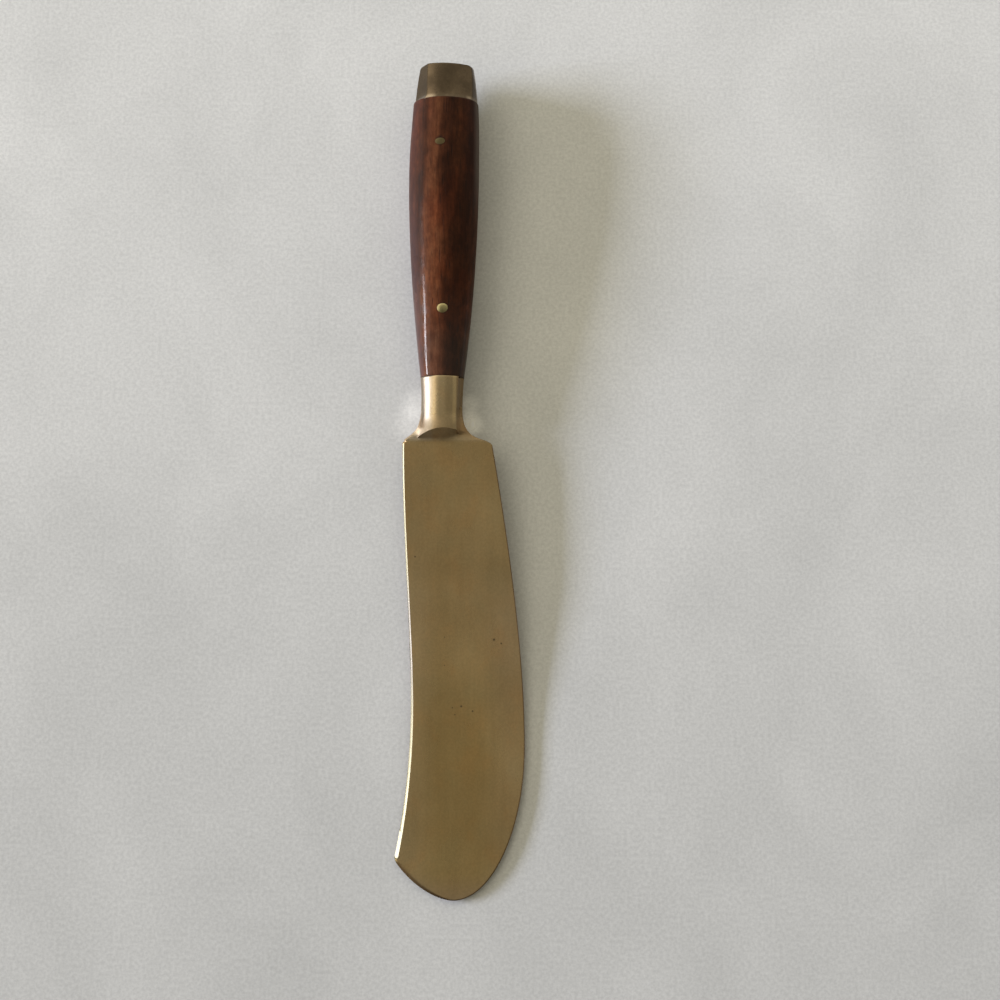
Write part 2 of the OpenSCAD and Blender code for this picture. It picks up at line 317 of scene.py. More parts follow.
def soften(obj, width, angle=24, segments=2):
    """Small rounding of the sharp edges, with the flats kept flat."""
    bevel = obj.modifiers.new("edge rounding", "BEVEL")
    bevel.width = width * MM
    bevel.segments = segments
    bevel.limit_method = "ANGLE"
    bevel.angle_limit = math.radians(angle)
    bevel.miter_outer = "MITER_ARC"
    bevel.use_clamp_overlap = True
    weighted = obj.modifiers.new("face weight", "WEIGHTED_NORMAL")
    weighted.keep_sharp = True
    weighted.weight = 80


def grid_faces(rows, columns, start=0):
    """Quads between neighbouring rows of points."""
    return [(start + j * columns + i, start + j * columns + i + 1,
             start + (j + 1) * columns + i + 1, start + (j + 1) * columns + i)
            for j in range(rows - 1) for i in range(columns - 1)]


def tube_faces(rings, count):
    """Quads round rings of points, closed by a face at each end."""
    faces = [(j * count + i, j * count + (i + 1) % count,
              (j + 1) * count + (i + 1) % count, (j + 1) * count + i)
             for j in range(rings - 1) for i in range(count)]
    faces.append(tuple(range(count))[::-1])
    faces.append(tuple((rings - 1) * count + i for i in range(count)))
    return faces


def signed_power(v, e):
    return np.sign(v) * np.abs(v) ** e


def station(y, width, thickness, off=0):
    """Size of the handle at one place along it: place, half width, half thickness and offset."""
    return y, width / 2, thickness / 2, off


def ring(place, power, count):
    """Section of the handle: a soft-cornered oval at one place along the knife."""
    y, half_w, half_t, off = place
    a = 2 * np.pi * (np.arange(count) + 0.5) / count
    x = off + half_w * signed_power(np.cos(a), 2 / power)
    z = half_t * signed_power(np.sin(a), 2 / power)
    return np.stack([x, np.full(count, y), z], 1)


# Bolster
BOLSTER_LINE = chain(
    bezier([station(0, FOOT_W, NECK_T, -FOOT_OFF),
            station(0.3 * NECK_AT, NECK_W, NECK_T, -0.2 * FOOT_OFF),
            station(0.7 * NECK_AT, NECK_W, NECK_T),
            station(NECK_AT, NECK_W, NECK_T)]),
    bezier([station(NECK_AT, NECK_W, NECK_T),
            station(mix(NECK_AT, BOLSTER_LEN, 0.4), NECK_W, NECK_T),
            station(mix(NECK_AT, BOLSTER_LEN, 0.7),
                    mix(NECK_W, BOLSTER_W, 0.4), mix(NECK_T, BOLSTER_T, 0.4)),
            station(BOLSTER_LEN, BOLSTER_W, BOLSTER_T)]))

# Section of the bolster, in shares of its half width and half thickness: a round top between
# two filed edges
LEFT_EDGE = np.array([-0.85, 0.51])
RIGHT_EDGE = np.array([0.70, 0.83])
RIGHT_FOOT = np.array([0.76, 0.75])
# The same crease at the foot of the bolster, where the section is rounder
RIGHT_EDGE_LOW = np.array([0.70, 0.68])
RIGHT_FOOT_LOW = np.array([0.78, 0.60])
TOP_SAG = 0.335
SIDE_BULGE = 0.05
SIDE_HOLLOW = 0.02
# Where the crease turns from its foot's section to the upper one, and over what length
CREASE_FROM = 0.5
CREASE_RUN = 4

# Points across: the bolster's sides, its top, and the blade on either side of it
SIDE_STEPS = 6
TOP_STEPS = 32
BODY_STEPS = 2 * SIDE_STEPS + TOP_STEPS
WING_STEPS = 7
# Rows of points along
SLOPE_ROWS = 10
FLARE_ROWS = 34
NECK_ROWS = 14
SHOULDER_ROWS = 12
BLADE_ROWS = 130
NOSE_ROWS = 44
# Rows over which the foot's curve and its spacing fade out on the blade
STRAY_ROWS = 9
SPACING_ROWS = 40
# Where the outlines are parted: the edge a little off the spine, and both below the shoulders
EDGE_SHIFT = 0.6
SHOULDERS_END = -1.6
# A flare's bevel is at most this share of the flare's width
FLARE_BEVEL_SHARE = 0.4
# Search for the crest of the sloped front: passes, and share of the way taken in each
CREST_PASSES = 30
CREST_STEP = 0.7
# Fillets: passes, and how far one pass moves a point towards the mean of its neighbours
FLARE_PASSES = 30
FOOT_PASSES = 4
RELAX_STEP = 0.5


def bowed(a, b, sag, steps):
    """A shallow arc from a to b, bowed to the left of the way from a to b."""
    t = np.linspace(0, 1, steps + 1)[:, None]
    d = b - a
    return mix(a, b, t) + 4 * t * (1 - t) * sag * np.array([-d[1], d[0]]) / np.linalg.norm(d)


def sizes_at(y, line):
    """Half width, half thickness and offset at one place along a line of stations."""
    return [np.interp(y, line[:, 0], line[:, k]) for k in (1, 2, 3)]


def section(y):
    """Half section of the bolster at one place: left side, top and right side, down to the blade."""
    half_w, half_t, off = sizes_at(y, BOLSTER_LINE)
    level = HALF_T / half_t
    left = cut_at(bowed(np.array([-1.0, 0]), LEFT_EDGE, SIDE_BULGE, 24), 1, level)[1]
    high = smooth((y - CREASE_FROM) / CREASE_RUN)
    crease = np.array([
        mix(RIGHT_EDGE_LOW, RIGHT_EDGE, high),
        mix(RIGHT_FOOT_LOW, RIGHT_FOOT, high)])
    right = cut_at(bowed(crease[1], np.array([1.0, 0]), -SIDE_HOLLOW, 24), 1, level)[0]
    top = bowed(LEFT_EDGE, crease[0], TOP_SAG, 48)
    left, right = resample(left, SIDE_STEPS), resample(right, SIDE_STEPS - 1)
    x, z = joined(left, resample(top, TOP_STEPS), crease, right).T
    return np.stack([off + half_w * x, np.full(len(x), y), half_t * z], 1)


TABLE_Y = np.linspace(0, BOLSTER_LEN, 200)
TABLE = np.array([section(y) for y in TABLE_Y])


def skin_at(y):
    """Points of the bolster's skin, one for each column across, each at its own place along."""
    x, z = ([np.interp(y[k], TABLE_Y, TABLE[:, k, axis]) for k in range(len(y))] for axis in (0, 2))
    return np.stack([x, y, z], 1)


def crest_and_foot():
    """Where the sloped front cuts the bolster's skin, and where that slope meets the blade."""
    slope = (NECK_T / 2 - HALF_T) / SLOPE_RUN
    y = np.full(BODY_STEPS + 1, FOOT_AT)
    for _ in range(CREST_PASSES):
        x, _, z = skin_at(y).T
        want = FOOT_AT + ((z - HALF_T) / slope + x * math.sin(FOOT_SKEW)) / math.cos(FOOT_SKEW)
        y = mix(y, np.clip(want, 0, NECK_AT), CREST_STEP)
    crest = skin_at(y)
    x = crest[:, 0]
    run_out = FOOT_LOW + np.where(x < 0, FOOT_LEFT_RISE, FOOT_RIGHT_RISE) * x * x
    foot = np.stack([x, np.minimum(run_out, crest[:, 1]), np.full(len(y), HALF_T)], 1)
    return crest, foot


def inward(points, left):
    """Unit vectors at right angles to an outline, into the blade."""
    d = np.gradient(points, axis=0)
    d /= np.linalg.norm(d, axis=1)[:, None]
    way = np.stack([-d[:, 1], d[:, 0]], 1)
    return way if left else -way


def rim_of(outline, way, width, depth):
    """The rim's three points at each station: middle plane, foot of the bevel, top of the bevel."""
    n = len(outline)
    level = np.concatenate([outline, np.zeros((n, 1))], 1)
    side = np.concatenate([outline, (HALF_T - depth)[:, None]], 1)
    top = np.concatenate([outline + way * width[:, None], np.full((n, 1), HALF_T)], 1)
    return np.stack([level, side, top], 1)


def outlines():
    """Matching lines on both sides: the flares, and the rest from the foot to the tip."""
    spine_flare, spine_shoulder, spine, nose = spine_side()
    edge_flare, edge_shoulder, edge = edge_side()
    edge_high, edge_low = cut_at(edge_flare, 1, FOOT_AT + EDGE_SHIFT)
    edge_body, edge_nose = cut_at(edge, 1, CORNER[1] - EDGE_SHIFT)
    spine_first, spine_rest = cut_at(chain(spine_shoulder, spine), 1, SHOULDERS_END)
    edge_first, edge_rest = cut_at(chain(edge_low, edge_shoulder, edge_body), 1, SHOULDERS_END)
    flare = [resample(spine_flare, FLARE_ROWS), resample(edge_high, FLARE_ROWS)]
    low = [joined(resample(chain(spine_flare[-1:], spine_first), SHOULDER_ROWS),
                  resample(spine_rest, BLADE_ROWS), resample(nose, NOSE_ROWS)),
           joined(resample(edge_first, SHOULDER_ROWS),
                  resample(edge_rest, BLADE_ROWS), resample(edge_nose, NOSE_ROWS))]
    return flare, low


def bevel_sizes(low_spine):
    """Bevel width and depth along the spine side and the edge side, from the foot to the tip."""
    n = len(low_spine)
    i = np.arange(n)
    nose_start = SHOULDER_ROWS + BLADE_ROWS
    along = np.clip(low_spine[:, 1] / CORNER[1], 0, 1)
    spine_w = mix(SPINE_BEVEL, SPINE_BEVEL_END, along ** 2)
    spine_d = spine_w * math.tan(SPINE_BEVEL_SLOPE)
    t = np.clip((i - nose_start) / NOSE_ROWS, 0, 1)
    in_nose = i > nose_start
    spine_w = np.where(in_nose, RIM + (TIP_BEVEL - RIM) * np.sin(np.pi * t ** 0.6), spine_w)
    spine_d = np.where(in_nose, TIP_BEVEL_SLOPE * spine_w, spine_d)
    below = smooth((-low_spine[:, 1] - EDGE_BELLY_AT) / (BLADE_LEN - EDGE_BELLY_AT))
    return (spine_w, spine_d), (np.full(n, RIM), mix(RIM_DEPTH, TIP_BEVEL_SLOPE * RIM, below))


def wings(body, left_rim, right_rim):
    """A row across, from rim to rim, with the bolster's part in the middle given."""
    t = np.linspace(0, 1, WING_STEPS + 1)[1:-1, None]
    left = mix(left_rim[2], body[0], t)
    right = mix(body[-1], right_rim[2], t)
    return np.concatenate([left_rim, left, body, right, right_rim[::-1]])


def neck_row(y):
    """A row across where the bolster has no flares yet: its rim points lie on its sides."""
    body = section(y)
    half_w, _, off = sizes_at(y, BOLSTER_LINE)

    def side(x, top):
        rim = np.array([x, y, 0])
        return np.concatenate([[rim, mix(rim, top, 0.5)], np.repeat(top[None], WING_STEPS, 0)])

    return np.concatenate([side(off - half_w, body[0]), body, side(off + half_w, body[-1])[::-1]])


def flare_rims(flare, j, body, bevels):
    """Rim points of a row beside the bolster; the bevel shrinks where the flare is narrow."""
    rims = []
    for k, side in ((0, body[0]), (1, body[-1])):
        way = inward(flare[k], k == 0)[j]
        full_w, full_d = bevels[k][0][0], bevels[k][1][0]
        w = min(full_w, FLARE_BEVEL_SHARE * abs(side[0] - flare[k][j, 0]))
        sizes = np.array([w]), np.array([full_d * w / full_w])
        rims.append(rim_of(flare[k][j][None], way[None], *sizes)[0])
    return rims


def build_blade():
    """Rows of points over the upper half of blade and bolster, from the wood down to the tip."""
    flare, low = outlines()
    bevels = bevel_sizes(low[0])
    rims_low = [rim_of(low[k], inward(low[k], k == 0), *bevels[k]) for k in (0, 1)]
    crest, foot = crest_and_foot()
    y_neck = flare[0][0, 1]
    rows = [neck_row(mix(BOLSTER_LEN, y_neck, j / NECK_ROWS)) for j in range(NECK_ROWS)]
    # Beside the flares, from the neck to the crest of the sloped front
    for j in range(FLARE_ROWS + 1):
        body = skin_at(mix(y_neck, crest[:, 1], j / FLARE_ROWS))
        rims = flare_rims(flare, j, body, bevels)
        rows.append(wings(body, *rims))
    crest_row = len(rows) - 1
    for j in range(1, SLOPE_ROWS + 1):
        rows.append(wings(mix(crest, foot, j / SLOPE_ROWS), *rims))
    foot_row = len(rows) - 1
    # Blade: the foot's curve fades into straight rows between the two rims
    first = rows[-1][3:-3]
    left, right = rows[-1][2], rows[-1][-3]
    share = (first[:, 0] - left[0]) / (right[0] - left[0])
    stray = first - (left + share[:, None] * (right - left))
    even = np.linspace(0, 1, len(first) + 2)[1:-1]
    for j in range(1, len(low[0])):
        rim_l, rim_r = rims_low[0][j], rims_low[1][j]
        f = mix(share, even, smooth(j / SPACING_ROWS))[:, None]
        body = rim_l[2] + f * (rim_r[2] - rim_l[2]) + stray * (1 - smooth(j / STRAY_ROWS))
        rows.append(np.concatenate([rim_l, body, rim_r[::-1]]))
    rows = np.array(rows)
    relax_flare(rows, NECK_ROWS, crest_row)
    relax_foot(rows, foot_row)
    return rows


def relax_flare(rows, start, end):
    """Fillets where the bolster's sides run into the flares of the shoulders."""
    n = rows.shape[1]
    reach = WING_STEPS + SIDE_STEPS - 1
    strength = np.zeros((end - start + 1, n))
    t = np.linspace(0, 1, end - start + 1)
    fade = smooth(t / 0.25) * (1 - smooth((t - 0.85) / 0.15))
    for i in range(3, reach + 3):
        strength[:, i] = fade
        strength[:, n - 1 - i] = fade
    for _ in range(FLARE_PASSES):
        block = rows[start:end + 1]
        mean = (block[:, :-2] + block[:, 2:]) / 2
        block[:, 1:-1] += RELAX_STEP * strength[:, 1:-1, None] * (mean - block[:, 1:-1])


def relax_foot(rows, foot):
    """A small fillet where the sloped front runs out on the blade."""
    inner = slice(WING_STEPS + 4, -WING_STEPS - 4)
    for _ in range(FOOT_PASSES):
        for j in range(foot - 2, foot + 3):
            mean = (rows[j - 1, inner] + rows[j + 1, inner]) / 2
            rows[j, inner] += RELAX_STEP * (mean - rows[j, inner])


def underside_height(y):
    """Height of the flat plate's underside above the table."""
    return ORIGIN.z + y * ALONG.z - HALF_T * UP.z


def worn(points, lower):
    """Hand-worked blade: thinner from below towards the tip, its spreading edge on the table."""
    x, y, z = points.T
    kept = mix(1, THIN_SHARE, smooth(-y / THIN_FROM))
    z = np.where(lower, z * kept, z) - HALF_T * (1 - kept)
    to_edge = np.clip((x + SPINE_WAIST) / (EDGE_BELLY + SPINE_WAIST), 0, 1)
    droop = underside_height(y) * smooth((-y - DROOP_FROM) / DROOP_RUN) * to_edge
    return np.stack([x, y, z - np.where(y < 0, droop, 0)], 1)


def blade_piece():
    """Blade, shoulders and bolster: the upper half and its mirror image below."""
    rows = build_blade()
    m, n, _ = rows.shape
    upper = worn(rows.reshape(-1, 3), False)
    lower = worn((rows * (1, 1, -1)).reshape(-1, 3), True)
    points = np.concatenate([upper, lower])
    faces = grid_faces(m, n) + [f[::-1] for f in grid_faces(m, n, m * n)]
    # End face against the wood
    faces.append(tuple(range(n)) + tuple(m * n + i for i in range(n - 2, 0, -1)))
    obj = add_piece("brass_blade", points, faces, "blade")
    soften(obj, 0.11)
    return obj


# Grip
BELLY_Y = BOLSTER_LEN + GRIP_BELLY_AT


def belly(y):
    return station(y, BELLY_W, BELLY_T, -BELLY_BOW)


GRIP_LINE = chain(
    bezier([station(BOLSTER_LEN, BOLSTER_W, BOLSTER_T),
            station(mix(BOLSTER_LEN, BELLY_Y, 0.27),
                    mix(BOLSTER_W, BELLY_W, 0.54), mix(BOLSTER_T, BELLY_T, 0.54)),
            belly(mix(BOLSTER_LEN, BELLY_Y, 0.65)),
            belly(BELLY_Y)], 80),
    bezier([belly(BELLY_Y),
            belly(mix(BELLY_Y, CAP_Y, 0.36)),
            station(mix(BELLY_Y, CAP_Y, 0.7),
                    (BELLY_W + GRIP_REAR_W) / 2, (BELLY_T + GRIP_REAR_T) / 2),
            station(CAP_Y, GRIP_REAR_W, GRIP_REAR_T)], 32))


def grip_power(y):
    """The wood's section is squarer where it meets the bolster."""
    return mix(FRONT_POWER, GRIP_POWER, smooth((y - BOLSTER_LEN) / FRONT_RUN))


def wood_height(x, y):
    """Height of the grip's upper side above the middle plane."""
    half_w, half_t, off = sizes_at(y, GRIP_LINE)
    power = grip_power(y)
    return half_t * (1 - np.abs((x - off) / half_w) ** power) ** (1 / power)


def grip_piece():
    """The wood, with the flat under its belly on which it stands."""
    count = 120
    points = np.concatenate([ring(s, grip_power(s[0]), count) for s in GRIP_LINE])
    obj = add_piece("rosewood_grip", points, tube_faces(len(GRIP_LINE), count), "grip")
    soften(obj, 0.12, angle=40)
    return obj


# End cap
CAP_ROOT = (GRIP_REAR_W / 2 - CAP_STEP - CAP_OFF, GRIP_REAR_T / 2 - CAP_STEP)
CAP_TIP = (CAP_END_W / 2, CAP_BODY_END * CAP_ROOT[1])
ROUND_ANGLES = np.radians(np.linspace(0, 90, 13)[1:])
CAP_LINE = chain(
    bezier([(CAP_Y, *CAP_ROOT, CAP_OFF),
            (mix(CAP_Y, END_Y, 0.3), mix(CAP_ROOT[0], CAP_TIP[0], 0.2), CAP_ROOT[1], CAP_OFF),
            (mix(CAP_Y, END_Y, 0.6), mix(CAP_ROOT[0], CAP_TIP[0], 0.5), CAP_TIP[1], CAP_OFF),
            (END_Y - CAP_ROUND, *CAP_TIP, CAP_OFF)], 60),
    np.array([(END_Y - CAP_ROUND * (1 - math.sin(a)), CAP_TIP[0] - CAP_ROUND * (1 - math.cos(a)),
               CAP_TIP[1] - CAP_ROUND * (1 - math.cos(a)), CAP_OFF) for a in ROUND_ANGLES]))
# The face's dome and where its top lies across, its roll to one side, and its height
FACE_RADIUS = 11.0
FACE_TOP_X = 0.5
FACE_ROLL = 0.1
FACE_RISE = 0.12
# How the face runs out just short of the wood: height, and reach as a share of the cap's length
RUN_OUT = 0.3
RUN_OUT_REACH = 0.07
# Filed corners beside the face: place across, and slope
SPINE_CORNER = (-3.7, math.tan(math.radians(52)))
EDGE_CORNER = (5.3, -math.tan(math.radians(58)))
END_EDGE_R = 0.35
EDGE_SOFTNESS = 0.2


def soft_min(a, b, width):
    """The lower of two surfaces, with the edge between them rounded."""
    near = np.maximum(width - np.abs(a - b), 0) / width
    return np.minimum(a, b) - near * near * width / 4


def cap_ring(place):
    """Section of the cap: an oval with a filed, slightly domed face and two filed corners."""
    y, half_w, half_t, off = place
    along = (y - CAP_Y) / (END_Y - CAP_Y)
    into_edge = np.clip((y - END_Y + END_EDGE_R) / END_EDGE_R, 0, 1)
    run_out = RUN_OUT * math.exp(-along / RUN_OUT_REACH)
    end_edge = END_EDGE_R * (1 - math.sqrt(1 - into_edge ** 2))
    level = mix(CAP_FACE_T, CAP_END_T, along) / 2 + FACE_RISE + run_out - end_edge

    def face(x):
        return level - FACE_ROLL * x - (x - FACE_TOP_X) ** 2 / (2 * FACE_RADIUS)

    a = np.linspace(np.pi, 0, 201)
    x = half_w * signed_power(np.cos(a), 2 / GRIP_POWER)
    top = soft_min(half_t * np.abs(np.sin(a)) ** (2 / GRIP_POWER), face(x), EDGE_SOFTNESS)
    for corner_x, slope in (SPINE_CORNER, EDGE_CORNER):
        top = soft_min(top, face(corner_x) + run_out + slope * (x - corner_x), EDGE_SOFTNESS)
    half = np.stack([off + x, np.full(len(x), y), np.maximum(top, 0)], 1)
    lower = half[1:-1][::-1] * (1, 1, -1)
    return np.concatenate([half, lower])


def cap_piece():
    """The end cap, from the wood to its rounded end."""
    rings = [cap_ring(s) for s in CAP_LINE]
    faces = tube_faces(len(rings), len(rings[0]))
    return add_piece("brass_cap", np.concatenate(rings), faces, "pommel")


# Pins: points round a head and rings over it, how far it is from round, and how proud it stands
PIN_POINTS = 48
PIN_ROWS = 10
PIN_WOBBLE = 0.03
PIN_PROUD = 0.01


def pin_piece(name, node, x, y, share_x, share_y, dome):
    """Pin filed down with the wood: its slightly domed head follows the wood's curve."""
    half_x, half_y = share_x * PIN_D / 2, share_y * PIN_D / 2
    room_above = (cad_box[1][2] - world(x, y, wood_height(x, y)).z) / MM
    dome = min(dome, room_above)
    a = np.linspace(0, 2 * np.pi, PIN_POINTS, endpoint=False)
    wobble = 1 + PIN_WOBBLE * np.sin(2 * a + 1) + PIN_WOBBLE / 2 * np.sin(3 * a)
    head = []
    for share in np.sin(np.linspace(0.02, np.pi / 2, PIN_ROWS)):
        px = x + share * half_x * wobble * np.cos(a)
        py = y + share * half_y * wobble * np.sin(a)
        pz = wood_height(px, py) + PIN_PROUD + dome * (1 - share ** 2)
        head.append(np.stack([px, py, pz], 1))
    foot = [row * (1, 1, -1) for row in head[::-1]]
    faces = tube_faces(2 * PIN_ROWS, PIN_POINTS)
    return add_piece(name, np.concatenate(head + foot), faces, node)


blade = blade_piece()
grip = grip_piece()
cap = cap_piece()
# Heads as shares of the rod's width across and along, and the height of their dome
front_pin = pin_piece("brass_pin_front", "front_pin", 0, FRONT_PIN_Y, 0.87, 0.79, 0.22)
rear_pin = pin_piece("brass_pin_rear", "rear_pin", REAR_PIN_X, REAR_PIN_Y, 0.80, 0.58, 0.06)

# ---- materials


RANGE_INPUTS = ("Value", "From Min", "From Max", "To Min", "To Max")


class Shader:
    """A material and its nodes. Places on the knife are given in its own frame, in millimetres."""

    def __init__(self, name):
        self.material = bpy.data.materials.new(name)
        self.material.use_nodes = True
        self.tree = self.material.node_tree
        self.surface = self.tree.nodes["Principled BSDF"].inputs
        coordinates = self.add("ShaderNodeTexCoord").outputs
        self.place = coordinates["Object"]
        self.across, self.along, self.height = self.split(self.place)
        self.face_x, self.face_y, _ = self.split(coordinates["Normal"])

    def add(self, kind, inputs=None, **settings):
        """A node with its settings, and with values or links for inputs."""
        node = self.tree.nodes.new(kind)
        for key, value in settings.items():
            setattr(node, key, value)
        for key, value in (inputs or {}).items():
            self.feed(node.inputs[key], value)
        return node

    def feed(self, socket, value):
        if isinstance(value, bpy.types.NodeSocket):
            self.tree.links.new(value, socket)
        else:
            socket.default_value = value

    def set(self, name, value):
        """Gives the surface one of its inputs."""
        self.feed(self.surface[name], value)

    def noise(self, scale, detail=4, roughness=0.5, distortion=0, shift=(0, 0, 0)):
        """Noise with its cells per metre along each axis."""
        return self.add("ShaderNodeTexNoise", {
            "Vector": self.at(scale, shift), "Scale": 1, "Detail": detail,
            "Roughness": roughness, "Distortion": distortion}).outputs["Fac"]

    def at(self, scale, shift):
        """Object coordinates, scaled to cells per metre along each axis."""
        inputs = {"Vector": self.place, "Scale": scale, "Location": shift}
        return self.add("ShaderNodeMapping", inputs).outputs["Vector"]

    def spots(self, scale, radius, share, shift=(0, 0, 0)):
        """Soft dots: 1 inside a dot, 0 outside. Only a share of the cells holds one."""
        cells = self.add("ShaderNodeTexVoronoi", {"Vector": self.at(scale, shift), "Scale": 1}).outputs
        dot = self.range(cells["Distance"], 0.5 * radius, radius, 1, 0)
        return self.product(dot, self.math("LESS_THAN", self.split(cells["Color"])[0], share))

    def dot(self, x, y, size):
        """A soft round mark on the upper and lower sides."""
        flat = self.add("ShaderNodeVectorMath", {0: self.place, 1: (1, 1, 0)}, operation="MULTIPLY")
        ends = {0: flat.outputs["Vector"], 1: (world(x=x).x, world(y=y).y, 0)}
        away = self.add("ShaderNodeVectorMath", ends, operation="DISTANCE").outputs["Value"]
        return self.range(away, 0.2 * size * MM, size * MM, 1, 0)

    def split(self, vector):
        return self.add("ShaderNodeSeparateXYZ", {0: vector}).outputs

    def math(self, operation, a, b=0.0):
        return self.add("ShaderNodeMath", {0: a, 1: b}, operation=operation).outputs[0]

    def product(self, *values):
        total = values[0]
        for value in values[1:]:
            total = self.math("MULTIPLY", total, value)
        return total

    def range(self, value, low, high, out_low=0.0, out_high=1.0):
        """Smooth way from one output to the other while a value goes from low to high."""
        inputs = dict(zip(RANGE_INPUTS, (value, low, high, out_low, out_high)))
        return self.add("ShaderNodeMapRange", inputs, interpolation_type="SMOOTHSTEP").outputs[0]

    def over_x(self, start, end, out_start=0.0, out_end=1.0, value=None):
        """Smooth change between two places across the knife."""
        value = self.across if value is None else value
        return self.range(value, world(x=start).x, world(x=end).x, out_start, out_end)

    def over_y(self, start, end, out_start=0.0, out_end=1.0):
        """Smooth change between two places along the knife."""
        return self.range(self.along, world(y=start).y, world(y=end).y, out_start, out_end)

    def ramp(self, value, stops):
        node = self.add("ShaderNodeValToRGB", {"Fac": value})
        line = node.color_ramp.elements
        while len(line) < len(stops):
            line.new(0.5)
        for element, (position, color) in zip(line, stops):
            element.position = position
            element.color = (*color, 1)
        return node.outputs["Color"]

    def blend(self, amount, a, b, mode="MIX"):
        a, b = ((*color, 1) if isinstance(color, tuple) else color for color in (a, b))
        inputs = {0: amount, 6: a, 7: b}
        return self.add("ShaderNodeMix", inputs, data_type="RGBA", blend_type=mode).outputs[2]

    def tint(self, mask, color, factor):
        """A colour multiplied by another where a mask is 1."""
        return self.blend(mask, color, self.blend(1.0, color, factor, "MULTIPLY"))

    def shade(self, color, grey):
        """A colour made darker or lighter by a grey value."""
        node = self.add("ShaderNodeCombineColor", dict.fromkeys(range(3), grey))
        return self.blend(1.0, color, node.outputs[0], "MULTIPLY")

    def vary(self, color, noise, darkest, lightest, low=0.3, high=0.7):
        """A colour made darker or lighter by noise."""
        return self.shade(color, self.range(noise, low, high, darkest, lightest))

    def bump(self, height, distance, under=None):
        inputs = {"Height": height, "Distance": distance, "Strength": 1}
        if under is not None:
            inputs["Normal"] = under
        return self.add("ShaderNodeBump", inputs).outputs["Normal"]


# Brass. A tint multiplies the colour under it.
BLADE_TONES = (0.395, 0.274, 0.134), (0.47, 0.338, 0.177)
CAP_TONES = (0.068, 0.049, 0.032), (0.112, 0.083, 0.055)
PIN_TONES = (0.21, 0.175, 0.085), (0.38, 0.32, 0.165)
DULL_PIN_TONES = (0.11, 0.085, 0.045), (0.22, 0.175, 0.095)
CAST_PIT = (0.16, 0.1, 0.05)
BOLSTER_TINT = (1.04, 1.1, 1.28)
# Painted highlight on the bolster's left, and painted shade right of its middle
BOLSTER_HIGHLIGHT_TINT = (1.0, 1.08, 1.28)
BOLSTER_RIGHT_SHADE_TINT = (0.78, 0.77, 0.75)
OCHRE_TINT = (1.12, 1.10, 0.98)
# Painted sheen: a paler, bluer margin along the spine
SPINE_MARGIN_SHEEN_TINT = (1.24, 1.32, 1.62)
TIP_TINT = (1.03, 1.07, 1.45)
BELLY_TINT = (1.12, 1.14, 1.32)
# Painted shade and tarnish on the flares; painted highlight beside the right crease
TARNISH_AND_SHADE_TINT = (0.72, 0.65, 0.58)
CREASE_HIGHLIGHT_TINT = (1.3, 1.3, 1.25)
MIDDLE_TINT = (1.17, 1.17, 1.2)
WARM_STAIN_TINT = (1.04, 0.99, 0.95)
COOL_STAIN_TINT = (0.975, 1.0, 1.02)
# Painted shade on the rims, and a painted highlight spot on the left flare
RIM_SHADE_TINT = (0.5, 0.45, 0.45)
HIGHLIGHT_SPOT_TINT = (1.8, 1.85, 1.95)
POLISHED = (0.36, 0.32, 0.20)
WORN_POLISH = (0.25, 0.22, 0.17)
# Painted highlight on the crest
CREST_HIGHLIGHT = (0.85, 0.66, 0.42)
BLADE_PIT = (0.17, 0.125, 0.075)
CAP_SHADE_TINT = (0.74, 0.74, 0.74)
# Painted sheen on the cap's left facets and sides; by the wood partly rubbed, partly painted sheen
CAP_FACET_SHEEN_TINT = (1.3, 1.25, 1.1)
CAP_SIDE_SHEEN_TINT = (2.2, 2.2, 2.2)
CAP_RUBBED_SHEEN = (0.27, 0.215, 0.16)

# Depth of the fine relief, in metres
BRASS_WAVES = 0.00002
BRASS_LINES = 0.000003
PIN_LINES = 0.000004

# Small pits in the blade: place across and along, and size, in millimetres
PITS = [(10.7, -38.6, 0.34), (12.1, -39.3, 0.25), (4.5, -51.4, 0.3), (6.7, -52.3, 0.25),
        (-4.8, -22.7, 0.25), (1.2, -43.6, 0.16), (1.1, -38.2, 0.16), (2.8, -51.7, 0.18),
        (3.3, -53.0, 0.18)]


def brass_color(s, tones):
    """Worn brass: cloudy patina, fine lines along the knife, grain and pits."""
    clouds = s.noise((70, 45, 70), detail=5, roughness=0.55)
    color = s.ramp(clouds, [(0.32, tones[0]), (0.68, tones[1])])
    lines = s.noise((900, 30, 900), detail=3, roughness=0.6)
    color = s.vary(color, lines, 0.975, 1.025)
    color = s.vary(color, s.noise((2600, 2200, 2600), detail=2), 0.95, 1.05)
    pits = s.spots((190, 190, 190), 0.1, 0.05)
    return s.blend(pits, color, CAST_PIT), lines


def rubbed_roughness(s, low, high):
    """Roughness of brass that is rubbed unevenly by use."""
    return s.range(s.noise((160, 60, 160), detail=4, shift=(3, 1, 2)), 0.3, 0.7, low, high)


def brass_finish(s, color, rough, lines, streak):
    """Sets colour, roughness and the fine relief of a brass."""
    s.set("Base Color", color)
    s.set("Metallic", 1)
    s.set("Roughness", rough)
    waves = s.noise((130, 60, 130), detail=2, shift=(7, 0, 4))
    s.set("Normal", s.bump(lines, streak, s.bump(waves, BRASS_WAVES)))
    return s.material


def pin_brass(name, tones, smoothest, roughest):
    """Brass of a pin, the same all over."""
    s = Shader(name)
    color, lines = brass_color(s, tones)
    return brass_finish(s, color, rubbed_roughness(s, smoothest, roughest), lines, PIN_LINES)


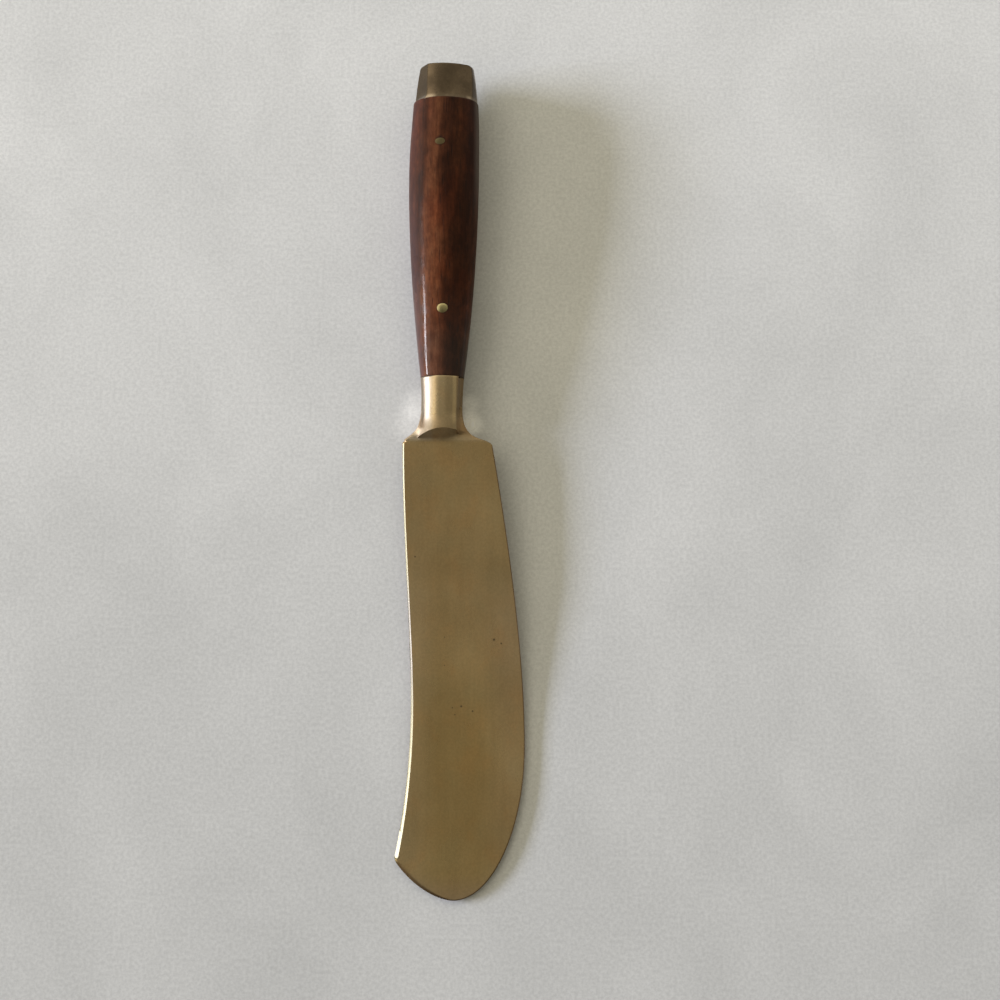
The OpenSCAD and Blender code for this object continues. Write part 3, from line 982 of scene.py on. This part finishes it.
def flare_shade_and_tarnish(s):
    """Painted shade by the crease and in the fillet at the foot, and tarnish in the left corner."""
    right = s.product(s.over_x(2.85, 3.1), s.over_y(0.4, 2))
    left = s.product(s.over_x(-4.7, -4.3), s.over_x(-3.5, -3.0, 1, 0))
    left = s.product(left, s.over_y(2, 2.8), s.over_y(3.8, 5.8, 1, 0))
    foot = s.product(s.over_y(-0.8, 0), s.over_y(0.7, 1.6, 1, 0))
    foot = s.product(foot, s.over_x(-5.2, -3.8), s.over_x(1.6, 3.4, 1, 0))
    return s.math("MAXIMUM", s.math("MAXIMUM", right, left), s.product(foot, 0.35))


def patina_and_painted_light(s, color):
    """Large changes of tone over blade and bolster, and painted highlights, shade and sheen."""
    bolster = s.over_y(-0.4, 0.5)
    stains = s.noise((210, 150, 210), detail=5, roughness=0.6, shift=(4, 4, 9))
    for mask, tint in (
            (bolster, BOLSTER_TINT),
            # Painted highlight: the left of the bolster's top paler and bluer
            (s.product(bolster, s.over_x(-1.2, -2.4)), BOLSTER_HIGHLIGHT_TINT),
            # Painted shade: the bolster's top darker right of its middle
            (s.product(s.over_y(4.4, 6), s.over_x(0.3, 1.3)), BOLSTER_RIGHT_SHADE_TINT),
            # Ochre over the lower blade, and a painted sheen: a paler margin along the spine
            (s.over_y(-30, -62), OCHRE_TINT),
            (s.product(s.over_x(-6.5, 1, 1, 0), s.over_y(-20, -50, 0.2, 1)), SPINE_MARGIN_SHEEN_TINT),
            # Paler again round the tip and along the belly of the edge
            (s.over_y(-82, -89), TIP_TINT),
            (s.product(s.over_x(7, 15), s.over_y(-18, -45)), BELLY_TINT),
            # Painted shade by the right crease and at the bolster's foot, with tarnish in the left
            # corner
            (flare_shade_and_tarnish(s), TARNISH_AND_SHADE_TINT),
            # Painted highlight: a light line just left of the bolster's right crease
            (s.product(s.over_x(2.0, 2.4), s.over_x(2.75, 2.9, 1, 0), s.over_y(2.6, 4)), CREASE_HIGHLIGHT_TINT),
            (s.product(s.over_y(-24, -31), s.over_y(-50, -40)), MIDDLE_TINT),
            (s.range(stains, 0.5, 0.68), WARM_STAIN_TINT),
            (s.range(stains, 0.5, 0.34), COOL_STAIN_TINT)):
        color = s.tint(mask, color, tint)
    return s.vary(color, s.noise((55, 38, 55), detail=3, shift=(2, 6, 3)), 0.94, 1.06)


def rims(s, color):
    """Bright spine bevel, painted shade on the edge and tip rims, and a painted highlight on the
    crest.
    """
    on_blade = s.over_y(-1.5, -0.5, 1, 0)
    outward = s.math("MAXIMUM", s.face_x, s.product(s.face_y, -1))
    # Painted shade: rims at the edge and the tip made darker
    color = s.tint(s.product(s.range(outward, 0.18, 0.3), on_blade), color, RIM_SHADE_TINT)
    bevel = s.product(s.range(s.face_x, -0.5, -0.3, 1, 0), on_blade)
    worn_off = s.product(s.over_y(-22, -34), s.over_y(-58, -42))
    color = s.blend(bevel, color, s.blend(worn_off, POLISHED, WORN_POLISH))
    # Painted highlight along the rim where the bolster's top ends in the sloped front
    high = s.range(s.height, world(y=1, z=HALF_T + 0.3).z, world(y=1, z=HALF_T + 0.7).z)
    crest = s.product(s.range(s.face_y, -0.2, -0.32), s.range(s.face_y, -0.64, -0.54))
    crest = s.product(crest, high, s.over_y(4.5, 3.5), s.over_x(2.2, 2.8, 1, 0))
    return s.blend(crest, color, CREST_HIGHLIGHT)


def blade_brass():
    """Brass of the blade: paler on the bolster, ochre towards the tip, painted shade along the rims.
    """
    s = Shader("patinated brass")
    color, lines = brass_color(s, BLADE_TONES)
    color = rims(s, patina_and_painted_light(s, color))
    # Painted highlight: a bright spot on the left flare
    color = s.tint(s.dot(-4.6, 2.0, 1.1), color, HIGHLIGHT_SPOT_TINT)
    for x, y, size in PITS:
        color = s.blend(s.dot(x, y, size), color, BLADE_PIT)
    # Unpolished corners where the bolster's sides run into the shoulders
    low = s.over_y(0, 0.6)
    corner = s.product(s.over_y(2.8, 5, 1, 0), low)
    side = s.product(s.over_x(-4.05, -3.8, 1, 0), s.over_y(7, 9, 1, 0), low)
    unpolished = s.product(s.math("MAXIMUM", corner, side), 0.3)
    rough = s.math("ADD", rubbed_roughness(s, 0.24, 0.34), unpolished)
    return brass_finish(s, color, rough, lines, BRASS_LINES)


def cap_brass():
    """Tarnished brass of the end cap, with painted shade and sheen; by the wood partly rubbed
    brighter.
    """
    s = Shader("tarnished brass")
    color, lines = brass_color(s, CAP_TONES)
    color = s.tint(s.over_x(1.5, 4.4), color, CAP_SHADE_TINT)
    # Painted sheen: the cap's left facets lighter
    color = s.tint(s.range(s.face_x, -0.6, -0.4, 1, 0), color, CAP_FACET_SHEEN_TINT)
    smudges = s.noise((260, 230, 260), detail=4, roughness=0.6, shift=(6, 2, 7))
    color = s.vary(color, smudges, 0.82, 1.18)
    # Painted sheen: lighter where the cap's sides turn down
    color = s.tint(s.range(s.math("ABSOLUTE", s.face_x), 0.88, 0.97), color, CAP_SIDE_SHEEN_TINT)
    # Lighter by the wood: partly rubbed brass, partly painted sheen
    at_wood = s.over_y(CAP_Y + 0.1, CAP_Y + 0.9, 1, 0)
    sides = s.math("ADD", s.over_x(-3.2, -1.2, 1, 0.12), s.over_x(3.9, 4.8, 0, 0.6))
    rubbed = s.product(at_wood, sides, s.range(smudges, 0.35, 0.6, 0.4, 1))
    color = s.blend(rubbed, color, CAP_RUBBED_SHEEN)
    return brass_finish(s, color, s.range(smudges, 0.3, 0.7, 0.36, 0.24), lines, BRASS_LINES)


# Rosewood, from its darkest figure to its lightest, what lies on and in it, and painted sheens
WOOD_TONES = [(0.32, (0.024, 0.0068, 0.0024)), (0.47, (0.047, 0.0135, 0.0044)),
              (0.60, (0.084, 0.0262, 0.0096)), (0.76, (0.142, 0.051, 0.0195))]
PORE = (0.014, 0.006, 0.004)
# Painted sheens: mauve on the left side, grey on the far edge
MAUVE_SHEEN = (0.078, 0.052, 0.05)
GREY_SHEEN = (0.08, 0.058, 0.05)
SPECK = (0.30, 0.17, 0.09)
DIRT = (0.012, 0.006, 0.004)
WARM_TINT = (1.1, 0.88, 0.8)
# Painted sheens: bluish on the right flank, and bluish grey near the bolster
BLUISH_SHEEN_TINT = (1.0, 1.15, 1.9)
FRONT_SHEEN_TINT = (0.79, 1.04, 1.42)
DARK_WOOD_TINT = (0.55, 0.5, 0.48)
# How far the figure wanders sideways, and depths of the relief, in metres
FIGURE_WANDER = 0.0008
PORE_DEPTH = 0.00002
LACQUER_RIPPLES = 0.000016
LACQUER_SCRATCHES = 0.000009


def wood_figure(s, place):
    """Colour of the wood: streaks along the grain, a lighter heart, mottle and fibres."""
    streaks = s.noise((180, 13, 180), detail=4, roughness=0.5, distortion=0.6, shift=(0.3, 0.2, 0.9))
    heart = s.product(s.over_x(-4.8, -3.2, value=place), s.over_x(-2.2, 0.7, 1, 0, place))
    tone = s.math("ADD", streaks, s.product(heart, 0.15))
    tone = s.math("ADD", tone, s.over_x(-1.4, 1.4, 0, -0.05, place))
    mottle = s.noise((620, 330, 620), detail=4, roughness=0.65, shift=(8, 1, 5))
    tone = s.math("ADD", tone, s.range(mottle, 0.3, 0.7, -0.08, 0.08))
    fibres = s.noise((1900, 160, 1900), detail=3, roughness=0.6)
    color = s.vary(s.ramp(tone, WOOD_TONES), fibres, 0.8, 1.2, 0.28, 0.72)
    warm = s.noise((110, 60, 110), detail=4, shift=(6, 1, 7))
    return s.tint(s.range(warm, 0.42, 0.62), color, WARM_TINT)


def painted_sheen_and_dirt(s, color, place):
    """Painted sheens on the sides, darker wood towards the cap, specks, and dirt round the pins."""
    # Painted sheen: mauve on the left side
    mauve_sheen_amount = s.over_y(36, 56, 0.42, 0.2)
    color = s.blend(s.range(s.face_x, -0.75, -0.45, mauve_sheen_amount, 0), color, MAUVE_SHEEN)
    # Painted sheen: bluish on the right flank near the cap
    color = s.tint(s.product(s.range(s.face_x, 0.4, 0.8), s.over_y(30, 60)), color, BLUISH_SHEEN_TINT)
    # Painted sheen: grey along the far edge near the cap
    far_edge_sheen = s.product(s.range(s.face_x, 0.7, 0.93), s.over_y(42, 56))
    color = s.blend(far_edge_sheen, color, GREY_SHEEN)
    # Painted sheen: bluish grey on the left near the bolster
    front_sheen = s.product(s.over_y(25, 18), s.range(s.face_x, -0.6, -0.36))
    color = s.tint(front_sheen, color, FRONT_SHEEN_TINT)
    beside_heart = s.product(s.over_x(-2.1, -1.1, value=place), s.over_x(2.8, 0.8, value=place))
    color = s.tint(s.product(beside_heart, s.over_y(44, 54)), color, DARK_WOOD_TINT)
    color = s.blend(s.spots((260, 200, 260), 0.09, 0.035, shift=(3, 8, 6)), color, SPECK)
    for x, y, size in ((0, FRONT_PIN_Y, 1.5), (REAR_PIN_X, REAR_PIN_Y, 1.4)):
        color = s.blend(s.dot(x, y, size), color, DIRT)
    return color


def lacquer(s):
    """The coat: worn thin on top, duller towards the cap, rippled and scratched."""
    thin = s.over_y(14, 34, 0.5, 0.08)
    thick = s.over_y(20, 37, 0.9, 0.2)
    s.set("Coat Weight", s.range(s.face_x, -0.56, -0.36, thick, thin))
    gaps = s.noise((800, 330, 800), detail=4, shift=(5, 3, 8))
    dull = s.over_y(24, 40, 0.06, 0.3)
    s.set("Coat Roughness", s.math("ADD", dull, s.range(gaps, 0.48, 0.62, 0, 0.2)))
    ripples = s.bump(s.noise((300, 60, 300), detail=3, shift=(1, 5, 2)), LACQUER_RIPPLES)
    scratches = s.noise((1300, 700, 1300), detail=2, shift=(9, 2, 6))
    s.set("Coat Normal", s.bump(scratches, LACQUER_SCRATCHES, ripples))


def rosewood():
    """Lacquered rosewood: orange brown streaks in dark brown, pores, and a thin worn coat."""
    s = Shader("rosewood")
    wander = s.noise((40, 30, 40), detail=3, shift=(2, 7, 5))
    place = s.math("ADD", s.across, s.range(wander, 0.3, 0.7, -FIGURE_WANDER, FIGURE_WANDER))
    pores = s.noise((3000, 200, 3000), detail=1, shift=(4, 9, 1))
    color = s.blend(s.range(pores, 0.64, 0.74, 0, 0.6), wood_figure(s, place), PORE)
    s.set("Base Color", painted_sheen_and_dirt(s, color, place))
    s.set("Roughness", 0.5)
    s.set("Specular IOR Level", 0.06)
    s.set("Normal", s.bump(s.range(pores, 0.6, 0.72, 1, 0), PORE_DEPTH))
    lacquer(s)
    return s.material


PAPER_TONES = [(0.3, (0.548, 0.543, 0.520)), (0.7, (0.632, 0.625, 0.599))]
# How far from the shoulders the paper's painted change of light reaches, in millimetres
PAPER_REACH = 110
# Light that the bolster's sides throw back on the paper: place, size and strength
GLOWS = [(-5.2, 8.0, 4.4, 1.25), (-6.2, 4.2, 5.0, 1.2), (5.4, 4.2, 3.6, 1.75), (5.2, 8.2, 3.0, 1.35)]


def paper():
    """Pale, dull paper with a faint unevenness, painted lighter towards the cap, and painted glows."""
    s = Shader("paper")
    cloud = s.noise((28, 22, 28), detail=6, roughness=0.62, distortion=0.4, shift=(0.4, 0.1, 0))
    color = s.ramp(cloud, PAPER_TONES)
    # Painted light: the paper darker towards the tip, lighter towards the cap and a little on the
    # spine side
    color = s.shade(color, s.over_y(-PAPER_REACH, PAPER_REACH, 0.9, 1.09))
    color = s.shade(color, s.over_x(-PAPER_REACH, PAPER_REACH, 1.022, 1.012))
    color = s.vary(color, s.noise((1500, 1500, 1500), detail=4, roughness=0.7), 0.91, 1.09)
    for x, y, size, strength in GLOWS:
        color = s.tint(s.dot(x, y, size), color, (strength,) * 3)
    s.set("Base Color", color)
    s.set("Roughness", 0.95)
    s.set("Specular IOR Level", 0.1)
    return s.material


for piece, material in (
        (blade, blade_brass()),
        (cap, cap_brass()),
        (front_pin, pin_brass("pin brass", PIN_TONES, 0.2, 0.3)),
        (rear_pin, pin_brass("dull pin brass", DULL_PIN_TONES, 0.35, 0.45)),
        (grip, rosewood())):
    piece.data.materials.append(material)

# ---- stage, light and camera

FLOOR_HALF = 2.5

# The room's own light: its level and colour, and what is added by direction: across the knife (0)
# or along it (1), from one value of that direction to another
ROOM_LEVEL = 0.85
ROOM_COLOR = (0.42, 0.40, 0.32, 1)
ROOM_SIDES = ((0, -1.0, -0.3, 0.9, 0.0), (1, -1.0, 1.0, -0.55, 0.55))

# Lamps: azimuth (0 is the spine side, + towards the cap), elevation, distance in metres,
# width and height as angles, radiance and colour
WINDOW = (4, 13.5, 10, 26, 8, 78, (0.90, 0.98, 1.28))
WINDOW_IN_BRASS = (4, 14.5, 1.6, 40, 17, 5.0, (0.95, 0.99, 1.22))
WINDOW_IN_LACQUER = (4, 34, 1.6, 26, 8, 22, (0.98, 0.99, 1.08))
WALL = (15, 42, 1.2, 90, 26, 1.0, (1.0, 0.93, 0.78))
FAR_WALL = (90, 28, 1.2, 110, 34, 0.75, (1.0, 0.95, 0.80))

# Place in the knife's frame, turn, and lens, matched to the photo's view
CAMERA_AT = (11.865, -39.513, 252.969)
CAMERA_TILT = math.radians(6.343)
CAMERA_ROLL = math.radians(0.5)
FOCAL = 46.8
SENSOR = 36
CLIP_START = 0.01


def floor_piece():
    """The sheet of paper that the knife lies on."""
    h = FLOOR_HALF
    mesh = bpy.data.meshes.new("floor")
    mesh.from_pydata([(-h, -h, 0), (h, -h, 0), (h, h, 0), (-h, h, 0)], [], [(0, 1, 2, 3)])
    mesh.materials.append(paper())
    obj = put("floor", mesh)


def softbox(name, azimuth, elevation, distance, width, height, radiance, color):
    """Area light that faces the knife."""
    a, e = math.radians(azimuth), math.radians(elevation)
    data = bpy.data.lights.new(name, "AREA")
    data.shape = "RECTANGLE"
    data.size = 2 * distance * math.tan(math.radians(width / 2))
    data.size_y = 2 * distance * math.tan(math.radians(height / 2))
    data.energy = radiance * math.pi * data.size * data.size_y
    data.color = color
    lamp = put(name, data)
    way = Vector((-math.cos(a) * math.cos(e), math.sin(a) * math.cos(e), math.sin(e)))
    lamp.location = way * distance
    lamp.rotation_euler = way.to_track_quat("Z", "Y").to_euler()
    lamp.visible_camera = False
    return lamp


def glint(name, pieces, window):
    """The window as some pieces mirror it: a lamp that only gloss on them shows."""
    lamp = softbox(name, *window)
    lamp.visible_diffuse = False
    group = bpy.data.collections.new(name)
    for piece in pieces:
        group.objects.link(piece)
    lamp.light_linking.receiver_collection = group


def room():
    """Warm, dim surroundings, brighter on the window's side."""
    surroundings = bpy.data.worlds.new("room")
    bpy.context.scene.world = surroundings
    surroundings.use_nodes = True
    tree = surroundings.node_tree
    place = tree.nodes.new("ShaderNodeTexCoord")
    split = tree.nodes.new("ShaderNodeSeparateXYZ")
    tree.links.new(place.outputs["Generated"], split.inputs[0])
    total = None
    for axis, *limits in ROOM_SIDES:
        part = tree.nodes.new("ShaderNodeMapRange")
        part.interpolation_type = "SMOOTHSTEP"
        for key, value in zip(RANGE_INPUTS[1:], limits):
            part.inputs[key].default_value = value
        tree.links.new(split.outputs[axis], part.inputs["Value"])
        added = tree.nodes.new("ShaderNodeMath")
        added.inputs[1].default_value = ROOM_LEVEL
        tree.links.new(part.outputs["Result"], added.inputs[0])
        if total is not None:
            tree.links.new(total, added.inputs[1])
        total = added.outputs[0]
    background = tree.nodes["Background"]
    background.inputs["Color"].default_value = ROOM_COLOR
    tree.links.new(total, background.inputs["Strength"])


def set_camera():
    """The photo's view of the knife."""
    data = bpy.data.cameras.new("camera")
    data.lens = FOCAL
    data.sensor_width = SENSOR
    data.clip_start = CLIP_START
    camera = put("camera", data)
    camera.location = world(*CAMERA_AT)
    turned = TURN.to_3x3() @ Euler((CAMERA_TILT, 0, CAMERA_ROLL)).to_matrix()
    camera.rotation_euler = turned.to_euler()
    bpy.context.scene.camera = camera


floor_piece()
softbox("window", *WINDOW).visible_glossy = False
glint("window in the brass", (blade, cap, front_pin, rear_pin), WINDOW_IN_BRASS)
glint("window in the lacquer", (grip,), WINDOW_IN_LACQUER)
softbox("wall", *WALL)
softbox("far wall", *FAR_WALL)
room()
set_camera()
bpy.context.scene.view_settings.view_transform = "Standard"
